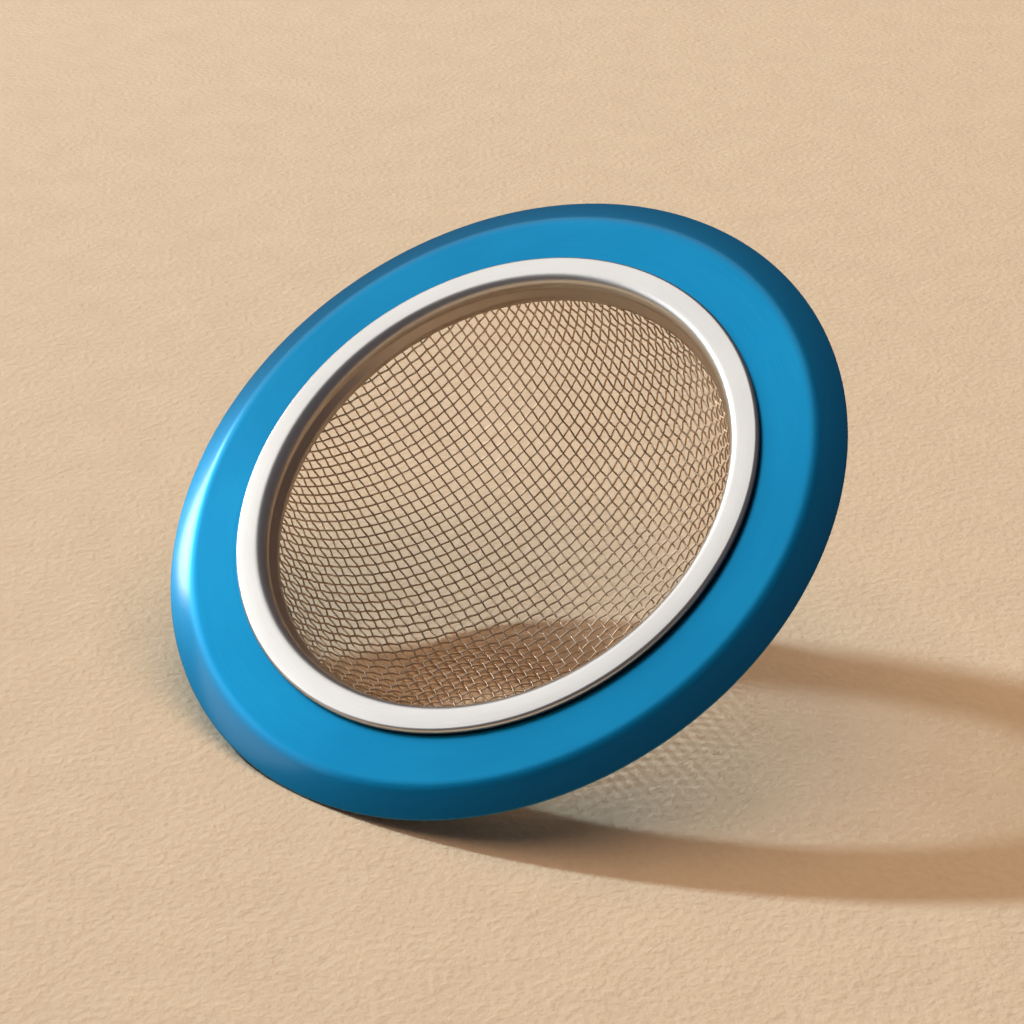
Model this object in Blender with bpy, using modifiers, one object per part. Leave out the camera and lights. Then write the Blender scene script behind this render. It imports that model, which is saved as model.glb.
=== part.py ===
"""Sink strainer: a woven-wire bowl, a wide dished flange and the ring that clamps them together.

Each piece is modelled about its own axis, with the flange's lower cut edge at height 0 and the
bowl hanging below. An empty then tips all three to the pose the strainer takes on a table, where
it leans on the edge of its flange and on the side of its bowl.
"""

import math

import bmesh
import bpy
from mathutils import Matrix, Vector

MM = 0.001

# Flange, pressed from sheet: the brim is what shows outside the clamp ring
FLANGE_RADIUS = 57.0 * MM
BRIM_WIDTH = 13.1 * MM
FLANGE_SHEET = 0.5 * MM
FLANGE_RISE = 2.15 * MM
SKIRT_SLOPE = math.radians(19.5)
SKIRT_BEND_RADIUS = 3.0 * MM

# Clamp ring, spun from thinner sheet: the lip runs from its bore to its outer edge
LIP_WIDTH = 5.8 * MM
RING_SHEET = 0.35 * MM
COLLAR_DROP = 1.0 * MM
COLLAR_STRAIGHT = 0.8 * MM
NECK_WIDENING = 0.8 * MM
SHOULDER_RADIUS = 1.2 * MM
CURL_ANGLE = math.radians(40.0)

# Bowl of woven wire, a round cap below the flange's lower edge, whose side is pressed flat by the
# dent's depth where it lies on the floor: one bar of the coarse weave stands for five wires
BOWL_DEPTH = 33.0 * MM
DENT_DEPTH = 2.0 * MM
WALL = 0.4 * MM
KNOT = 0.8 * MM
RIDGE = 0.5 * MM
GAP_EDGE = 0.2 * MM
BAR_WIDTH = 1.2 * MM
BAR_PITCH = 8.75 * MM
WEAVE_ANGLE = math.radians(64.0)
MARGIN_INSET = 1.3 * MM
RIM_STEP = 4.5 * MM
SHORTEST_BAR = 0.6 * MM
SMALLEST_GAP = 12.0 * MM * MM

CLEARANCE = 0.3 * MM
SEGMENTS = 72
ARC_STEPS = 3
SHARP_ANGLE = math.radians(35.0)
MERGE = 0.01 * MM

# Heights above the flange's lower edge, and radii that follow from the flange inwards
FLAT_TOP = FLANGE_RISE
FLAT_UNDERSIDE = FLAT_TOP - FLANGE_SHEET
LIP_TOP = FLAT_TOP + CLEARANCE + WALL + CLEARANCE + RING_SHEET
SHOULDER_HEIGHT = LIP_TOP - SHOULDER_RADIUS
RING_RADIUS = FLANGE_RADIUS - BRIM_WIDTH
THROAT_RADIUS = RING_RADIUS - LIP_WIDTH
NECK_RADIUS = THROAT_RADIUS + NECK_WIDENING
NECK_HEIGHT = FLAT_UNDERSIDE - CLEARANCE
COLLAR_END = -COLLAR_DROP
MESH_OFFSET = RING_SHEET + CLEARANCE + 0.5 * WALL
RIM_RADIUS = THROAT_RADIUS + MESH_OFFSET
HOLE_RADIUS = NECK_RADIUS + MESH_OFFSET + 0.5 * WALL + CLEARANCE
MARGIN_RADIUS = RING_RADIUS - MARGIN_INSET
EDGE_CORNER_RADIUS = FLANGE_RADIUS - FLANGE_SHEET * math.sin(SKIRT_SLOPE)

# The bowl's sphere: its rim is level with the collar's end, RIM_LEVEL away from its centre
CAP_DEPTH = BOWL_DEPTH - COLLAR_DROP
SPHERE_RADIUS = (RIM_RADIUS ** 2 + CAP_DEPTH ** 2) / (2.0 * CAP_DEPTH)
SPHERE_HEIGHT = SPHERE_RADIUS - BOWL_DEPTH
RIM_LEVEL = CAP_DEPTH - SPHERE_RADIUS
RIM_ANGLE = math.atan2(RIM_RADIUS, -RIM_LEVEL)


def clear_scene():
    for obj in list(bpy.data.objects):
        bpy.data.objects.remove(obj, do_unlink=True)


def make_material(name, colour, metallic, roughness):
    material = bpy.data.materials.new(name)
    material.use_nodes = True
    shader = material.node_tree.nodes["Principled BSDF"]
    shader.inputs["Base Color"].default_value = (*colour, 1.0)
    shader.inputs["Metallic"].default_value = metallic
    shader.inputs["Roughness"].default_value = roughness
    return material


def arc(centre, radius, start, end, steps=ARC_STEPS):
    """Points along an arc in the (radius, height) plane, both ends included."""
    points = []
    for i in range(steps + 1):
        angle = start + (end - start) * i / steps
        points.append((centre[0] + radius * math.cos(angle), centre[1] + radius * math.sin(angle)))
    return points


def offset_profile(points, distance):
    """The profile moved sideways by a distance, to its right, with mitred corners."""
    moved = []
    for i, point in enumerate(points):
        before = points[max(i - 1, 0)]
        after = points[min(i + 1, len(points) - 1)]
        normals = []
        for a, b in ((before, point), (point, after)):
            length = math.hypot(b[0] - a[0], b[1] - a[1])
            if length > 0.0:
                normals.append(Vector(((b[1] - a[1]) / length, (a[0] - b[0]) / length)))
        mitre = normals[0] + normals[-1]
        mitre *= 2.0 / mitre.length_squared
        moved.append((point[0] + distance * mitre.x, point[1] + distance * mitre.y))
    return moved


def collar_profile():
    """The ring's bore from its lower end up to the neck, where it passes through the flange."""
    return [
        (THROAT_RADIUS, COLLAR_END),
        (THROAT_RADIUS, COLLAR_END + COLLAR_STRAIGHT),
        (NECK_RADIUS, NECK_HEIGHT),
    ]


def ring_profile():
    """Visible face of the clamp ring: collar, rounded shoulder, flat lip and curled outer edge."""
    shoulder_centre = (NECK_RADIUS + SHOULDER_RADIUS, SHOULDER_HEIGHT)
    curl_drop = LIP_TOP - FLAT_TOP - CLEARANCE
    curl_radius = curl_drop / (1.0 + math.sin(CURL_ANGLE))
    curl_centre = (RING_RADIUS - curl_radius, LIP_TOP - curl_radius)
    points = collar_profile()
    points += arc(shoulder_centre, SHOULDER_RADIUS, math.pi, 0.5 * math.pi)
    points += arc(curl_centre, curl_radius, 0.5 * math.pi, -CURL_ANGLE)
    return points


def flange_profile():
    """Top face of the flange: the flat, the bend and the sloping skirt down to its cut edge."""
    edge_height = FLANGE_SHEET * math.cos(SKIRT_SLOPE)
    crease = FLANGE_RADIUS - (FLAT_TOP - edge_height) / math.tan(SKIRT_SLOPE)
    bend_start = crease - SKIRT_BEND_RADIUS * math.tan(0.5 * SKIRT_SLOPE)
    bend_centre = (bend_start, FLAT_TOP - SKIRT_BEND_RADIUS)
    upright = 0.5 * math.pi
    points = [(HOLE_RADIUS, FLAT_TOP)]
    points += arc(bend_centre, SKIRT_BEND_RADIUS, upright, upright - SKIRT_SLOPE)
    points.append((FLANGE_RADIUS, edge_height))
    return points


def margin_profile():
    """Middle of the mesh from the bowl's rim up behind the collar and out over the flange."""
    shoulder_centre = (NECK_RADIUS + SHOULDER_RADIUS, SHOULDER_HEIGHT)
    turn_radius = SHOULDER_RADIUS - MESH_OFFSET
    points = offset_profile(collar_profile(), MESH_OFFSET)
    points += arc(shoulder_centre, turn_radius, math.pi, 0.5 * math.pi, steps=1)
    points.append((MARGIN_RADIUS, points[-1][1]))
    return points


def link(obj, collection, parent):
    collection.objects.link(obj)
    obj.parent = parent
    return obj


def shade(mesh):
    mesh.shade_smooth()
    mesh.set_sharp_from_angle(angle=SHARP_ANGLE)


def apply_modifiers(obj):
    """Keep the evaluated shape, so that shading can follow its real edges."""
    graph = bpy.context.evaluated_depsgraph_get()
    mesh = bpy.data.meshes.new_from_object(obj.evaluated_get(graph))
    obj.modifiers.clear()
    obj.data = mesh
    shade(mesh)


def turned_sheet(name, profile, thickness, material, collection, parent):
    """A profile of the visible face spun about the axis and thickened away from that face."""
    mesh = bpy.data.meshes.new(name)
    vertices = [(radius, 0.0, height) for radius, height in profile]
    edges = [(i, i + 1) for i in range(len(profile) - 1)]
    mesh.from_pydata(vertices, edges, [])
    mesh.materials.append(material)
    obj = link(bpy.data.objects.new(name, mesh), collection, parent)
    half_step = math.pi / SEGMENTS
    obj.data.transform(Matrix.Rotation(half_step - 0.5 * math.pi, 4, "Z"))

    screw = obj.modifiers.new("Spin", "SCREW")
    screw.axis = "Z"
    screw.steps = SEGMENTS
    screw.render_steps = SEGMENTS
    screw.use_merge_vertices = True
    screw.merge_threshold = MERGE

    solidify = obj.modifiers.new("Sheet", "SOLIDIFY")
    solidify.thickness = thickness
    solidify.offset = -1.0
    solidify.use_even_offset = True
    apply_modifiers(obj)
    return obj


def draped_crossings(cells):
    """Crossings of a square net draped on the bowl, as {(i, j): point} for both signs of i and j.

    Two wires cross at the pole at right angles and run one cell past the rim. Every other
    crossing is a net step away from two neighbours, so it is the mirror image of the crossing
    behind it in the plane through those neighbours and the centre of the sphere.
    """
    crossings = {}
    step = RIM_ANGLE / cells
    for sign_i, sign_j in ((1, 1), (-1, 1), (-1, -1), (1, -1)):
        for i in range(cells + 2):
            reach = SPHERE_RADIUS * math.sin(step * i)
            depth = -SPHERE_RADIUS * math.cos(step * i)
            crossings[(sign_i * i, 0)] = Vector((sign_i * reach, 0.0, depth))
            crossings[(0, sign_j * i)] = Vector((0.0, sign_j * reach, depth))
        for i in range(1, cells + 2):
            for j in range(1, cells + 2):
                side_a = crossings.get((sign_i * (i - 1), sign_j * j))
                side_b = crossings.get((sign_i * i, sign_j * (j - 1)))
                behind = crossings.get((sign_i * (i - 1), sign_j * (j - 1)))
                if side_a is None or side_b is None or behind is None or behind.z > RIM_LEVEL:
                    continue
                mirror = side_a.cross(side_b).normalized()
                crossings[(sign_i * i, sign_j * j)] = behind.reflect(mirror)
    return crossings


def net_surface(cells):
    """A grid pulled onto the draped net and cut off at the rim, about the centre of the sphere."""
    crossings = draped_crossings(cells)
    reach = cells + 1
    net = bmesh.new()
    bmesh.ops.create_grid(net, x_segments=2 * reach, y_segments=2 * reach, size=reach)
    spare = []
    for vertex in net.verts:
        crossing = crossings.get((round(vertex.co.x), round(vertex.co.y)))
        if crossing is None:
            spare.append(vertex)
        else:
            vertex.co = crossing
    bmesh.ops.delete(net, geom=spare, context="VERTS")
    everything = net.verts[:] + net.edges[:] + net.faces[:]
    bmesh.ops.bisect_plane(net, geom=everything, dist=MERGE, plane_co=(0.0, 0.0, RIM_LEVEL),
                           plane_no=(0.0, 0.0, 1.0), clear_outer=True)
    bmesh.ops.remove_doubles(net, verts=net.verts[:], dist=SHORTEST_BAR)
    return net


def at_rim(vertex):
    return abs(vertex.co.z - RIM_LEVEL) < MERGE


def rim_edges(net):
    """Edges of the net's outer border."""
    return [edge for edge in net.edges if edge.is_boundary and all(map(at_rim, edge.verts))]


def round_off_rim(net):
    """Push the border of the net out to the rim's full circle and split its long edges."""
    border = [vertex for vertex in net.verts if vertex.is_boundary]
    while border:
        for vertex in border:
            outward = Vector((vertex.co.x, vertex.co.y, 0.0)).normalized()
            vertex.co = RIM_RADIUS * outward
            vertex.co.z = RIM_LEVEL
        long_edges = [edge for edge in rim_edges(net) if edge.calc_length() > RIM_STEP]
        border = [bmesh.utils.edge_split(edge, edge.verts[0], 0.5)[1] for edge in long_edges]


def open_gaps(net):
    """Leave a gap inside each cell of the net and bow the bars between crossings to the sphere."""
    rim = set(rim_edges(net))
    bars = [e for e in net.edges if e not in rim and e.calc_length() > 0.5 * BAR_PITCH]
    cells = [face for face in net.faces if face.calc_area() > SMALLEST_GAP]
    crossings = set(net.verts)
    bmesh.ops.inset_individual(net, faces=cells, thickness=0.5 * BAR_WIDTH, use_even_offset=True)
    bmesh.ops.delete(net, geom=cells, context="FACES_ONLY")
    gap_corners = set(net.verts) - crossings
    middles = {bmesh.utils.edge_split(bar, bar.verts[0], 0.5)[1] for bar in bars}
    for vertex in middles | gap_corners:
        vertex.co = SPHERE_RADIUS * vertex.co.normalized()
    return crossings, middles


def raise_margin(net):
    """Extrude the rim along the margin's profile, behind the collar and out over the flange."""
    edges = rim_edges(net)
    for radius, height in margin_profile()[1:]:
        extruded = bmesh.ops.extrude_edge_only(net, edges=edges)["geom"]
        edges = [item for item in extruded if isinstance(item, bmesh.types.BMEdge) and item.is_boundary]
        for vertex in {vertex for edge in edges for vertex in edge.verts}:
            outward = Vector((vertex.co.x, vertex.co.y, 0.0)).normalized()
            vertex.co = radius * outward
            vertex.co.z = height - SPHERE_HEIGHT


def press_flat(mesh):
    """Press the low side of the bowl flat where the leaning strainer lies on the floor."""
    centre = Vector((0.0, 0.0, SPHERE_HEIGHT))
    down = Vector((0.0, -math.sin(resting_lean()), -math.cos(resting_lean())))
    for vertex in mesh.vertices:
        excess = (vertex.co - centre).dot(down) - (SPHERE_RADIUS - DENT_DEPTH)
        if excess > 0.0:
            vertex.co -= excess * down


def make_basket(material, collection, parent):
    """The bowl as one wall: bars that are ridged along the middle, thick where they cross."""
    cells = max(3, round(RIM_ANGLE * SPHERE_RADIUS / BAR_PITCH))
    net = net_surface(cells)
    round_off_rim(net)
    crossings, middles = open_gaps(net)
    raise_margin(net)
    bmesh.ops.recalc_face_normals(net, faces=net.faces[:])
    net.verts.index_update()
    thin_above = RIM_LEVEL - WALL
    full = [v.index for v in crossings if v.is_valid and v.co.z < thin_above]
    ridge = [v.index for v in middles if v.is_valid and v.co.z < thin_above]
    edge_of_gap = [v.index for v in net.verts if v.is_boundary and v.co.z < thin_above]
    mesh = bpy.data.meshes.new("mesh_basket")
    net.to_mesh(mesh)
    net.free()
    mesh.materials.append(material)
    lift = Matrix.Translation((0.0, 0.0, SPHERE_HEIGHT))
    mesh.transform(lift @ Matrix.Rotation(WEAVE_ANGLE, 4, "Z"))
    press_flat(mesh)

    obj = link(bpy.data.objects.new("mesh_basket", mesh), collection, parent)
    share = obj.vertex_groups.new(name="share_of_knot_thickness")
    share.add(range(len(mesh.vertices)), WALL / KNOT, "REPLACE")
    share.add(full, 1.0, "REPLACE")
    share.add(ridge, RIDGE / KNOT, "REPLACE")
    share.add(edge_of_gap, GAP_EDGE / KNOT, "REPLACE")
    solidify = obj.modifiers.new("Wall", "SOLIDIFY")
    solidify.thickness = KNOT
    solidify.offset = 0.0
    solidify.use_even_offset = True
    solidify.vertex_group = share.name
    apply_modifiers(obj)
    return obj


def resting_lean():
    """Tilt at which the flange's lower edge and the dent in the bowl's side touch one plane."""
    ball = SPHERE_RADIUS - DENT_DEPTH + 0.5 * KNOT
    span = math.hypot(EDGE_CORNER_RADIUS, SPHERE_HEIGHT)
    return math.asin(ball / span) - math.atan2(SPHERE_HEIGHT, EDGE_CORNER_RADIUS)


def set_down(pose, pieces):
    """Lean the strainer over, then put its lowest point on the floor and its box about the origin."""
    turn = Matrix.Rotation(resting_lean(), 4, "X")
    points = [turn @ vertex.co for piece in pieces for vertex in piece.data.vertices]
    low = Vector([min(point[axis] for point in points) for axis in range(3)])
    high = Vector([max(point[axis] for point in points) for axis in range(3)])
    pose.rotation_euler.x = resting_lean()
    pose.location = (-0.5 * (low.x + high.x), -0.5 * (low.y + high.y), -low.z)


def main():
    clear_scene()
    collection = bpy.data.collections.new("sink_strainer")
    bpy.context.scene.collection.children.link(collection)
    pose = link(bpy.data.objects.new("resting_pose", None), collection, None)

    blue = make_material("blue_metal", (0.004, 0.23, 0.46), 0.75, 0.35)
    silver = make_material("satin_steel", (0.72, 0.70, 0.67), 1.0, 0.32)
    wire = make_material("steel_wire", (0.50, 0.46, 0.40), 1.0, 0.30)

    flange = turned_sheet("flange", flange_profile(), FLANGE_SHEET, blue, collection, pose)
    ring = turned_sheet("clamp_ring", ring_profile(), RING_SHEET, silver, collection, pose)
    basket = make_basket(wire, collection, pose)
    set_down(pose, (flange, ring, basket))


main()
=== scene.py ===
"""Sink strainer: a spun ring and a blue flange around a bowl of woven wire, on a pale floor.

Every piece is modelled about the strainer's own axis, with the flange's lower cut edge at height
0 and the bowl hanging below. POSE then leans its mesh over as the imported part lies.
"""

import math

import bpy
import numpy as np
from mathutils import Matrix, Vector


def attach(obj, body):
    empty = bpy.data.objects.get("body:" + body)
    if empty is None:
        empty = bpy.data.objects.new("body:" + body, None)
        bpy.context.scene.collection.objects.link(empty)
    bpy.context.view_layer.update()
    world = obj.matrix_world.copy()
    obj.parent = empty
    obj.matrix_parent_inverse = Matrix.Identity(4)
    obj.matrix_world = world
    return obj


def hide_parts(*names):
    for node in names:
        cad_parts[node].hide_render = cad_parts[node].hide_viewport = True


MM = 0.001

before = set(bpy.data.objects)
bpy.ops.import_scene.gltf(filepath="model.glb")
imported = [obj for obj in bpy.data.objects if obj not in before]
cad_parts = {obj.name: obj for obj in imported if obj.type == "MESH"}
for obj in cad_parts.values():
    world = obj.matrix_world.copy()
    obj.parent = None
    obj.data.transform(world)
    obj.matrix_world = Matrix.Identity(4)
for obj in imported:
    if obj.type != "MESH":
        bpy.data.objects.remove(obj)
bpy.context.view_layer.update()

# The strainer's lean and place on the floor
LEAN = math.radians(35.019336101139174)
PLACE = Vector((0.0, 0.2035 * MM, 32.62439 * MM))
POSE = Matrix.Translation(PLACE) @ Matrix.Rotation(LEAN, 4, "X")

# Flange
HOLE_RADIUS = 40.25 * MM
FLANGE_RADIUS = 57.0 * MM
FLANGE_SHEET = 0.5 * MM
FLANGE_RISE = 2.15 * MM
SKIRT_SLOPE = math.radians(19.5)
SKIRT_BEND_RADIUS = 6.0 * MM

# Clamp ring
THROAT_RADIUS = 38.1 * MM
NECK_RADIUS = 38.9 * MM
NECK_HEIGHT = 1.35 * MM
RING_RADIUS = 43.9 * MM
RING_SHEET = 0.35 * MM
COLLAR_END = -1.0 * MM
COLLAR_TOP = -0.2 * MM
COLLAR_BEND = 0.5 * MM
LIP_TOP = 3.5 * MM
SHOULDER_RADIUS = 1.8 * MM
CURL_RADIUS = 0.64 * MM
CURL_ANGLE = math.radians(40.0)

# Woven bowl: a cap of a sphere, with so many cells from its pole to its rim and more beyond
RIM_RADIUS = 38.95 * MM
RIM_HEIGHT = COLLAR_END
BOWL_DEPTH = 33.0 * MM
CAP_DEPTH = BOWL_DEPTH + RIM_HEIGHT
SPHERE_RADIUS = (RIM_RADIUS ** 2 + CAP_DEPTH ** 2) / (2.0 * CAP_DEPTH)
SPHERE_HEIGHT = SPHERE_RADIUS - BOWL_DEPTH
RIM_ANGLE = math.atan2(RIM_RADIUS, SPHERE_RADIUS - CAP_DEPTH)
DENT_DEPTH = 1.94 * MM
DENT_FOLD = 0.5 * MM
CELLS = 31
EXTRA_CELLS = 4
STEPS_PER_CELL = 4
WIRE_RADIUS = 0.16 * MM
WIRE_SIDES = 6
CRIMP = 0.165 * MM
WEAVE_ANGLE = math.radians(64.0)
MARGIN_RADIUS = 42.5 * MM
MARGIN_HEIGHT = 2.65 * MM
MARGIN_BEND = 0.45 * MM
MARGIN_RISE_START = COLLAR_TOP - 0.2 * MM
MARGIN_RISE_END = NECK_HEIGHT - 0.35 * MM
MARGIN_NECK = NECK_RADIUS + RING_SHEET + 0.5 * MM

# Turned sheets: steps around and along the curves, and how far the cut edges are rounded
SEGMENTS = 360
ARC_STEPS = 12
CORNER_STEPS = 6
EDGE_STEPS = 4
EDGE_TURN = math.radians(50.0)
FLANGE_EDGE = 0.22 * MM
RING_EDGE = 0.08 * MM

# Surfaces
# Heights over which the painted shade fades: across the flange's bend, and on the ring's shoulder
# up to this far below the lip's top
BEND_SHADE = 0.5 * MM
LIP_SHADE = 0.4 * MM
BRUSHING_DEPTH = 0.02 * MM
FLOOR_GRAIN = 0.85 * MM

# Stage and lamps, in metres
FLOOR_SIDE = 12.0
LAMP_DISTANCE = 3.0


def arc(centre, radius, start, end):
    """Points along a circular arc, both ends among them."""
    points = []
    for i in range(ARC_STEPS + 1):
        angle = start + (end - start) * i / ARC_STEPS
        x = centre[0] + radius * math.cos(angle)
        y = centre[1] + radius * math.sin(angle)
        points.append((x, y))
    return points


def rounded(path, radius, steps=CORNER_STEPS):
    """The path with each inner corner replaced by a short curve."""
    result = [path[0]]
    for a, b, c in zip(path, path[1:], path[2:]):
        before = Vector(a) - Vector(b)
        after = Vector(c) - Vector(b)
        cut = min(radius, 0.45 * before.length, 0.45 * after.length)
        start = Vector(b) + before.normalized() * cut
        end = Vector(b) + after.normalized() * cut
        for i in range(steps + 1):
            t = i / steps
            point = start * (1 - t) ** 2 + Vector(b) * 2 * t * (1 - t) + end * t ** 2
            result.append(tuple(point))
    result.append(path[-1])
    return result


def offset_path(path, distance):
    """The path moved sideways, to its right, with mitred corners."""
    moved = []
    for i, point in enumerate(path):
        before = path[max(i - 1, 0)]
        after = path[min(i + 1, len(path) - 1)]
        normals = []
        for a, b in ((before, point), (point, after)):
            length = math.hypot(b[0] - a[0], b[1] - a[1])
            if length > 0.0:
                normals.append(Vector(((b[1] - a[1]) / length, (a[0] - b[0]) / length)))
        mitre = normals[0] + normals[-1]
        mitre *= 2.0 / mitre.length_squared
        moved.append((point[0] + distance * mitre.x, point[1] + distance * mitre.y))
    return moved


def mesh_object(name, vertices, faces, material):
    """A smooth piece, posed in its own mesh."""
    mesh = bpy.data.meshes.new(name)
    mesh.from_pydata(vertices, [], faces)
    mesh.transform(POSE)
    mesh.materials.append(material)
    mesh.shade_smooth()
    mesh.validate()
    mesh.update()
    obj = bpy.data.objects.new(name, mesh)
    bpy.context.scene.collection.objects.link(obj)
    return obj


def turned(name, face, thickness, edge_round, material):
    """A sheet metal piece: its visible face, as a path of (radius, height), thickened and spun."""
    back = offset_path(face, thickness)
    loop = face + back[::-1]
    closed = loop[-2:] + loop + loop[:2]
    outline = []
    for i in range(2, len(closed) - 2):
        a, b, c = Vector(closed[i - 1]), Vector(closed[i]), Vector(closed[i + 1])
        turn = (b - a).angle(c - b, 0.0)
        if turn > EDGE_TURN:
            outline += rounded([tuple(a), tuple(b), tuple(c)], edge_round, EDGE_STEPS)[1:-1]
        else:
            outline.append(tuple(b))
    count = len(outline)
    angles = [2.0 * math.pi * k / SEGMENTS for k in range(SEGMENTS)]
    vertices = [(r * math.cos(a), r * math.sin(a), h) for a in angles for r, h in outline]
    faces = []
    for k in range(SEGMENTS):
        here = k * count
        after = (k + 1) % SEGMENTS * count
        for i in range(count):
            j = (i + 1) % count
            faces.append((here + i, after + i, after + j, here + j))
    return mesh_object(name, vertices, faces, material)


def flange_face():
    """The flange's visible face, from its hole to its cut edge."""
    edge_height = FLANGE_SHEET * math.cos(SKIRT_SLOPE)
    crease = FLANGE_RADIUS - (FLANGE_RISE - edge_height) / math.tan(SKIRT_SLOPE)
    bend_start = crease - SKIRT_BEND_RADIUS * math.tan(0.5 * SKIRT_SLOPE)
    centre = (bend_start, FLANGE_RISE - SKIRT_BEND_RADIUS)
    upright = 0.5 * math.pi
    face = [(HOLE_RADIUS, FLANGE_RISE), (0.5 * (HOLE_RADIUS + bend_start), FLANGE_RISE)]
    face += arc(centre, SKIRT_BEND_RADIUS, upright, upright - SKIRT_SLOPE)
    face.append((FLANGE_RADIUS, edge_height))
    return face


def ring_face():
    """The ring's visible face, from the collar's lower end to the curled edge of the lip."""
    shoulder = (NECK_RADIUS + SHOULDER_RADIUS, LIP_TOP - SHOULDER_RADIUS)
    curl = (RING_RADIUS - CURL_RADIUS, LIP_TOP - CURL_RADIUS)
    collar = [
        (THROAT_RADIUS, COLLAR_END),
        (THROAT_RADIUS, COLLAR_TOP),
        (NECK_RADIUS, NECK_HEIGHT),
        (NECK_RADIUS, LIP_TOP - SHOULDER_RADIUS),
    ]
    face = rounded(collar, COLLAR_BEND)[:-1]
    face += arc(shoulder, SHOULDER_RADIUS, math.pi, 0.5 * math.pi)
    face += arc(curl, CURL_RADIUS, 0.5 * math.pi, -CURL_ANGLE)
    return face


# Wires


def draped_crossings():
    """Directions from the bowl's centre to the crossings of a square net draped on the bowl.

    Two wires cross at the pole and run over the rim. Every other crossing is the mirror image
    of the crossing behind it in the plane through its two neighbours and the bowl's centre. The
    whole net is then turned about the strainer's axis.
    """
    reach = CELLS + EXTRA_CELLS
    step = RIM_ANGLE / CELLS
    limit = -math.cos(RIM_ANGLE + step * (EXTRA_CELLS - 1))
    crossings = {}
    for sign_i, sign_j in ((1, 1), (-1, 1), (-1, -1), (1, -1)):
        for i in range(reach + 1):
            side = math.sin(step * i)
            depth = -math.cos(step * i)
            crossings[(sign_i * i, 0)] = Vector((sign_i * side, 0.0, depth))
            crossings[(0, sign_j * i)] = Vector((0.0, sign_j * side, depth))
        for i in range(1, reach + 1):
            for j in range(1, reach + 1):
                side_a = crossings.get((sign_i * (i - 1), sign_j * j))
                side_b = crossings.get((sign_i * i, sign_j * (j - 1)))
                behind = crossings.get((sign_i * (i - 1), sign_j * (j - 1)))
                if side_a is None or side_b is None or behind is None or behind.z > limit:
                    continue
                mirror = side_a.cross(side_b).normalized()
                crossings[(sign_i * i, sign_j * j)] = behind.reflect(mirror)
    turn = Matrix.Rotation(WEAVE_ANGLE, 3, "Z")
    return {key: turn @ crossing for key, crossing in crossings.items()}


def margin_path():
    """The middle of the cloth above the rim: up behind the collar, then out over the flange.

    With it come the lengths along the path to its points.
    """
    corners = [
        (RIM_RADIUS, RIM_HEIGHT),
        (RIM_RADIUS, MARGIN_RISE_START),
        (MARGIN_NECK, MARGIN_RISE_END),
        (MARGIN_NECK, MARGIN_HEIGHT),
        (MARGIN_RADIUS, MARGIN_HEIGHT),
    ]
    path = np.array(rounded(corners, MARGIN_BEND))
    length = np.concatenate([[0.0], np.cumsum(np.hypot(*np.diff(path, axis=0).T))])
    return path, length


def press_flat(points, normals):
    """Press the cloth flat where the bowl lies on the floor, with a soft fold around the flat."""
    centre = np.array([0.0, 0.0, SPHERE_HEIGHT])
    down = np.array([0.0, -math.sin(LEAN), -math.cos(LEAN)])
    excess = (points - centre) @ down - (SPHERE_RADIUS - DENT_DEPTH)
    reach = np.sqrt(excess ** 2 + DENT_FOLD ** 2)
    pressed = (0.5 * (1.0 + excess / reach))[:, None]
    points = points - 0.5 * (excess + reach)[:, None] * down
    normals = (1.0 - pressed) * normals + pressed * down
    return points, normals / np.linalg.norm(normals, axis=1)[:, None]


def on_cloth(directions):
    """Points on the cloth and its outward normals, for directions from the bowl's centre."""
    points = directions * SPHERE_RADIUS + np.array([0.0, 0.0, SPHERE_HEIGHT])
    points, normals = press_flat(points, directions)
    past_rim = np.arccos(np.clip(-directions[:, 2], -1.0, 1.0)) - RIM_ANGLE
    above = past_rim > 0.0
    if above.any():
        path, length = margin_path()
        far = SPHERE_RADIUS * past_rim[above]
        radius = np.interp(far, length, path[:, 0])
        height = np.interp(far, length, path[:, 1])
        slope = np.gradient(path, length, axis=0)
        normal_r = np.interp(far, length, slope[:, 1])
        normal_h = np.interp(far, length, -slope[:, 0])
        flat = directions[above, :2] / np.linalg.norm(directions[above, :2], axis=1)[:, None]
        points[above] = np.column_stack([flat * radius[:, None], height])
        normals[above] = np.column_stack([flat * normal_r[:, None], normal_h])
        normals[above] /= np.linalg.norm(normals[above], axis=1)[:, None]
    return points, normals


def wire_runs(crossings, family):
    """Each wire of one family as its crossings in order, with +1 or -1 for over or under."""
    reach = CELLS + EXTRA_CELLS
    _, length = margin_path()
    last = RIM_ANGLE + length[-1] / SPHERE_RADIUS
    runs = []
    for across in range(-reach, reach + 1):
        run = []
        for along in range(-reach, reach + 1):
            key = (along, across) if family == 0 else (across, along)
            crossing = crossings.get(key)
            if crossing is not None and math.acos(max(-1.0, min(1.0, -crossing.z))) < last:
                side = 1.0 if (along + across + family) % 2 == 0 else -1.0
                run.append((crossing, side))
        if len(run) > 2:
            runs.append(run)
    return runs


def wire_tube(run):
    """The centre points, the surface normals and the tangents of one crimped wire."""
    directions = []
    offsets = []
    for (a, side), (b, _) in zip(run, run[1:]):
        for k in range(STEPS_PER_CELL):
            t = k / STEPS_PER_CELL
            directions.append(a.slerp(b, t))
            offsets.append(side * math.cos(math.pi * t))
    directions.append(run[-1][0])
    offsets.append(run[-1][1])
    points, normals = on_cloth(np.array([tuple(d) for d in directions]))
    points = points + normals * (CRIMP * np.array(offsets))[:, None]
    tangents = np.gradient(points, axis=0)
    tangents /= np.linalg.norm(tangents, axis=1)[:, None]
    return points, normals, tangents


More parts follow.
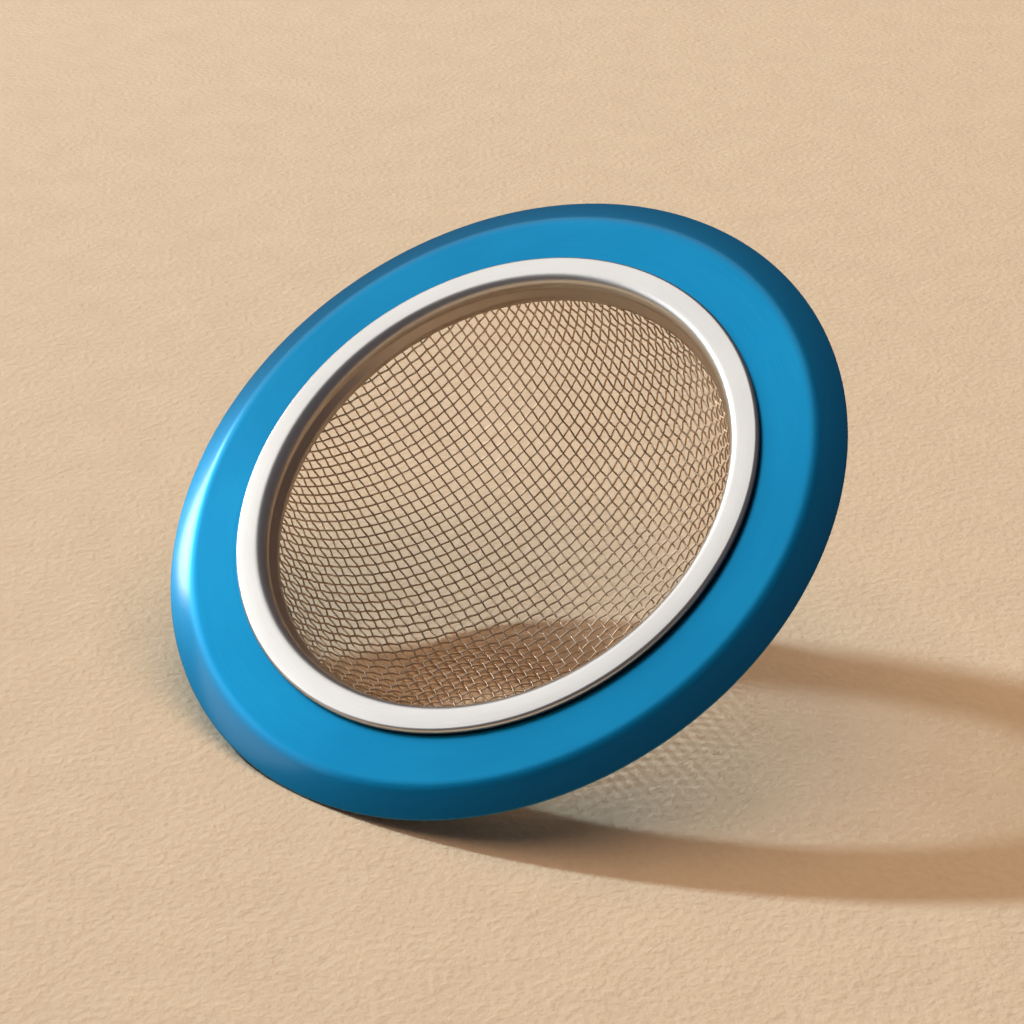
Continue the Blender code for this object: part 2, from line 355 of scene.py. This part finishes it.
def weave(name, crossings, family, material):
    """One family of wires as a single piece, each wire a closed tube."""
    vertices = []
    faces = []
    angles = 2.0 * math.pi * np.arange(WIRE_SIDES) / WIRE_SIDES
    base = 0
    for run in wire_runs(crossings, family):
        points, normals, tangents = wire_tube(run)
        sides = np.cross(tangents, normals)
        sides /= np.linalg.norm(sides, axis=1)[:, None]
        up = np.cross(sides, tangents)
        ring = (up[:, None, :] * np.cos(angles)[None, :, None]
                + sides[:, None, :] * np.sin(angles)[None, :, None])
        tube = points[:, None, :] + WIRE_RADIUS * ring
        vertices.append(tube.reshape(-1, 3))
        count = len(points)
        for k in range(count - 1):
            here = base + k * WIRE_SIDES
            for i in range(WIRE_SIDES):
                j = (i + 1) % WIRE_SIDES
                faces.append((here + i, here + j, here + WIRE_SIDES + j, here + WIRE_SIDES + i))
        faces.append(tuple(base + i for i in reversed(range(WIRE_SIDES))))
        end = base + (count - 1) * WIRE_SIDES
        faces.append(tuple(end + i for i in range(WIRE_SIDES)))
        base += count * WIRE_SIDES
    return mesh_object(name, np.concatenate(vertices).tolist(), faces, material)


# Materials


class Nodes:
    """A short way to add and join shader nodes."""

    def __init__(self, tree):
        self.tree = tree

    def add(self, kind, inputs=None, **settings):
        """A new node. Each input is another node's output or a plain value."""
        node = self.tree.nodes.new("ShaderNode" + kind)
        for key, value in settings.items():
            setattr(node, key, value)
        for key, value in (inputs or {}).items():
            if isinstance(value, bpy.types.NodeSocket):
                self.tree.links.new(value, node.inputs[key])
            else:
                node.inputs[key].default_value = value
        return node

    def maths(self, operation, a, b=0.0):
        return self.add("Math", {0: a, 1: b}, operation=operation).outputs[0]

    def mix(self, factor, a, b):
        node = self.add("Mix", data_type="RGBA")
        for socket, value in ((node.inputs[0], factor), (node.inputs[6], a), (node.inputs[7], b)):
            if isinstance(value, bpy.types.NodeSocket):
                self.tree.links.new(value, socket)
            else:
                socket.default_value = value
        return node.outputs[2]

    def span(self, value, low, high):
        """A value from 0 to 1 spread from low to high."""
        node = self.add("MapRange", {"Value": value, "To Min": low, "To Max": high})
        return node.outputs["Result"]


def principled(name, sockets):
    """A new material with plain values on its shader's sockets."""
    material = bpy.data.materials.new(name)
    material.use_nodes = True
    shader = material.node_tree.nodes["Principled BSDF"]
    for key, value in sockets.items():
        shader.inputs[key].default_value = value
    return material, Nodes(material.node_tree), shader


def own_place(nodes):
    """The place on the strainer in its own upright frame, whatever its lean."""
    place = nodes.add("TexCoord").outputs["Object"]
    pose = {"Vector": place, "Location": PLACE, "Rotation": (LEAN, 0.0, 0.0)}
    return nodes.add("Mapping", pose, vector_type="TEXTURE").outputs[0]


def across_brushing(nodes):
    """The direction across the circular brushing, along which spun metal's gloss stretches."""
    outward = nodes.add("VectorMath", {0: own_place(nodes), 1: (1.0, 1.0, 0.0)},
                        operation="MULTIPLY").outputs[0]
    return nodes.add("VectorRotate", {"Vector": outward, "Angle": LEAN},
                     rotation_type="X_AXIS").outputs[0]


def brushed_coordinates(nodes, fine, turns):
    """Coordinates that change fast across the circular brushing and slowly along it."""
    place = own_place(nodes)
    parts = nodes.add("SeparateXYZ", {0: place}).outputs
    flat = nodes.add("CombineXYZ", {0: parts[0], 1: parts[1]}).outputs[0]
    radius = nodes.add("VectorMath", {0: flat}, operation="LENGTH").outputs["Value"]
    around = nodes.add("VectorMath", {0: flat}, operation="NORMALIZE").outputs[0]
    around = nodes.add("SeparateXYZ", {0: around}).outputs
    across = nodes.maths("ADD", radius, parts[2])
    return nodes.add("CombineXYZ", {
        0: nodes.maths("MULTIPLY", around[0], turns),
        1: nodes.maths("MULTIPLY", around[1], turns),
        2: nodes.maths("MULTIPLY", across, fine),
    }).outputs[0]


def brushed_metal(name, sockets, dark, light, rough, fine, fold, painted_shade, dull=0.0, coat=None):
    """Spun sheet metal with fine rings of brushing, in tone, gloss and relief.

    Fold is a pair of heights. Above it the colour runs from dark to light. Below it the colour
    is a painted shade colour, darker, in place of shade, and the metal is rougher by dull. Coat
    is the coat's weight below and above.
    """
    material, nodes, shader = principled(name, sockets)
    lines = nodes.add("TexNoise", {
        "Vector": brushed_coordinates(nodes, fine, 5.0), "Scale": 1.0, "Detail": 4.0,
        "Roughness": 0.65}).outputs["Fac"]
    cloud = nodes.add("TexNoise", {
        "Vector": brushed_coordinates(nodes, 120.0, 2.2), "Scale": 1.0, "Detail": 3.0,
    }).outputs["Fac"]
    tone = nodes.maths("MULTIPLY", nodes.maths("ADD", lines, cloud), 0.5)
    tone = nodes.add("MapRange", {"Value": tone, "From Min": 0.3, "From Max": 0.7}).outputs[0]
    height = nodes.add("SeparateXYZ", {0: own_place(nodes)}).outputs[2]
    raised = nodes.add("MapRange", {"Value": height, "From Min": fold[0],
                                    "From Max": fold[1]}).outputs[0]
    links = nodes.tree.links
    # Below the fold the base colour is painted shade, darker than the brushed tone, standing for
    # shade.
    links.new(nodes.mix(raised, painted_shade, nodes.mix(tone, dark, light)), shader.inputs["Base Color"])
    roughness = nodes.span(lines, rough[0], rough[1])
    if dull:
        roughness = nodes.maths("ADD", roughness, nodes.span(raised, dull, 0.0))
    links.new(roughness, shader.inputs["Roughness"])
    if coat:
        links.new(nodes.span(raised, coat[0], coat[1]), shader.inputs["Coat Weight"])
    relief = nodes.add("Bump", {"Height": lines, "Strength": 0.25, "Distance": BRUSHING_DEPTH})
    links.new(relief.outputs[0], shader.inputs["Normal"])
    links.new(across_brushing(nodes), shader.inputs["Tangent"])
    return material


def wire_metal():
    """Drawn stainless wire: small changes of tone and gloss along it."""
    material, nodes, shader = principled("drawn_wire", {"Metallic": 1.0})
    place = nodes.add("TexCoord").outputs["Object"]
    spots = nodes.add("TexNoise", {"Vector": place, "Scale": 900.0, "Detail": 3.0}).outputs["Fac"]
    broad = nodes.add("TexNoise", {"Vector": place, "Scale": 60.0, "Detail": 2.0}).outputs["Fac"]
    tone = nodes.maths("MULTIPLY", nodes.maths("ADD", spots, broad), 0.5)
    tone = nodes.add("MapRange", {"Value": tone, "From Min": 0.35, "From Max": 0.65}).outputs[0]
    # The tone varies at random along the wire; the warm brown and the darkness of both colours are
    # painted shade and a painted reflection of the warm floor.
    dark = (0.62, 0.47, 0.33, 1.0)
    light = (0.88, 0.73, 0.57, 1.0)
    links = nodes.tree.links
    links.new(nodes.mix(tone, dark, light), shader.inputs["Base Color"])
    links.new(nodes.span(spots, 0.24, 0.40), shader.inputs["Roughness"])
    return material


def floor_surface():
    """Pale matt board with a fine grain."""
    sockets = {"Roughness": 1.0, "Specular IOR Level": 0.05}
    material, nodes, shader = principled("pale_floor", sockets)
    place = nodes.add("TexCoord").outputs["Object"]
    grain = nodes.add("TexNoise", {"Vector": place, "Scale": 700.0, "Detail": 3.0}).outputs["Fac"]
    broad = nodes.add("TexNoise", {"Vector": place, "Scale": 90.0, "Detail": 4.0}).outputs["Fac"]
    tone = nodes.maths("MULTIPLY", nodes.maths("ADD", grain, broad), 0.5)
    dark = (0.76, 0.54, 0.365, 1.0)
    light = (0.96, 0.71, 0.485, 1.0)
    links = nodes.tree.links
    links.new(nodes.mix(tone, dark, light), shader.inputs["Base Color"])
    relief = nodes.add("Bump", {"Height": tone, "Strength": 1.0, "Distance": FLOOR_GRAIN})
    links.new(relief.outputs[0], shader.inputs["Normal"])
    return material


# Pieces

# Below the flange's bend the blue is painted darker: painted shade on the skirt.
blue = brushed_metal(
    "blue_satin", {"Metallic": 1.0, "Anisotropic": 0.5, "Coat Roughness": 0.14},
    dark=(0.001, 0.19, 0.40, 1.0), light=(0.004, 0.24, 0.47, 1.0), rough=(0.27, 0.36),
    fine=5000.0, fold=(FLANGE_RISE - BEND_SHADE, FLANGE_RISE), painted_shade=(0.001, 0.18, 0.37, 1.0),
    dull=0.12, coat=(0.7, 0.12))
# The ring's collar is painted brown-grey, fading up its shoulder towards the lip: painted shade
# and a painted reflection of the warm floor.
silver = brushed_metal(
    "spun_steel", {"Metallic": 1.0, "Anisotropic": 0.2},
    dark=(0.60, 0.59, 0.57, 1.0), light=(0.70, 0.69, 0.67, 1.0), rough=(0.27, 0.37),
    fine=6000.0, fold=(NECK_HEIGHT, LIP_TOP - LIP_SHADE), painted_shade=(0.50, 0.42, 0.35, 1.0))
wire = wire_metal()

flange = turned("pressed_flange", flange_face(), FLANGE_SHEET, FLANGE_EDGE, blue)
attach(flange, "root")
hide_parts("flange")

ring = turned("spun_ring", ring_face(), RING_SHEET, RING_EDGE, silver)
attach(ring, "root")
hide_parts("clamp_ring")

net = draped_crossings()
for family, name in enumerate(("wires_lengthwise", "wires_crosswise")):
    wires = weave(name, net, family, wire)
    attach(wires, "root")
    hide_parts("mesh_basket")

# Stage, light and camera

corners = [(x * FLOOR_SIDE, y * FLOOR_SIDE, 0.0) for x, y in ((-1, -1), (1, -1), (1, 1), (-1, 1))]
floor_mesh = bpy.data.meshes.new("floor")
floor_mesh.from_pydata(corners, [], [(0, 1, 2, 3)])
floor_mesh.materials.append(floor_surface())
floor = bpy.data.objects.new("floor", floor_mesh)
bpy.context.scene.collection.objects.link(floor)


def softbox(name, direction, spread, level, colour, glossy=True, diffuse=True):
    """A round lamp seen from the strainer under a half angle of spread.

    Its level is how bright it makes a white surface that faces it. One that isn't diffuse only
    shows as a reflection in the metal, and sends no glints on to the floor.
    """
    lamp = bpy.data.lights.new(name, "AREA")
    lamp.shape = "DISK"
    lamp.size = 2.0 * LAMP_DISTANCE * math.tan(math.radians(spread))
    lamp.energy = level * (math.pi * LAMP_DISTANCE) ** 2
    lamp.color = colour
    if not diffuse:
        lamp.cycles.max_bounces = 0
    obj = bpy.data.objects.new(name, lamp)
    bpy.context.scene.collection.objects.link(obj)
    towards = Vector(direction).normalized()
    obj.location = towards * LAMP_DISTANCE
    obj.rotation_mode = "QUATERNION"
    obj.rotation_quaternion = towards.to_track_quat("Z", "Y")
    obj.visible_glossy = glossy
    obj.visible_diffuse = diffuse


# The key casts the shadows and the fill lights them. The other three show in the metal.
softbox("key_light", (-0.8063, -0.0772, 0.5857), 2.2, 0.85, (0.57, 0.80, 0.95), glossy=False)
softbox("fill_light", (0.0, 0.2, 1.0), 35.0, 0.66, (1.0, 0.79, 0.57), glossy=False)
softbox("glint_light", (-0.9316, -0.1266, 0.3386), 8.0, 0.30, (1.0, 0.98, 0.95), diffuse=False)
softbox("panel_light", (-0.6797, -0.0469, 0.7309), 28.0, 0.35, (1.0, 0.98, 0.95), diffuse=False)
softbox("front_light", (-0.74, -0.50, 0.45), 14.0, 0.10, (0.92, 0.97, 1.0), diffuse=False)

world = bpy.data.worlds.new("room_light")
world.use_nodes = True
world.node_tree.nodes["Background"].inputs["Color"].default_value = (0.95, 0.85, 0.92, 1.0)
world.node_tree.nodes["Background"].inputs["Strength"].default_value = 0.11
bpy.context.scene.world = world

camera_data = bpy.data.cameras.new("camera")
camera_data.lens = 100.0
camera_data.sensor_width = 36.0
camera_data.clip_start = 0.01
camera_data.clip_end = 60.0
camera = bpy.data.objects.new("camera", camera_data)
bpy.context.scene.collection.objects.link(camera)
camera.location = (0.25735, -0.30479, 0.23217)
camera.rotation_euler = (math.radians(63.0805), 0.0, math.radians(39.82376))
bpy.context.scene.camera = camera

bpy.context.scene.view_settings.view_transform = "Standard"

bpy.context.view_layer.update()
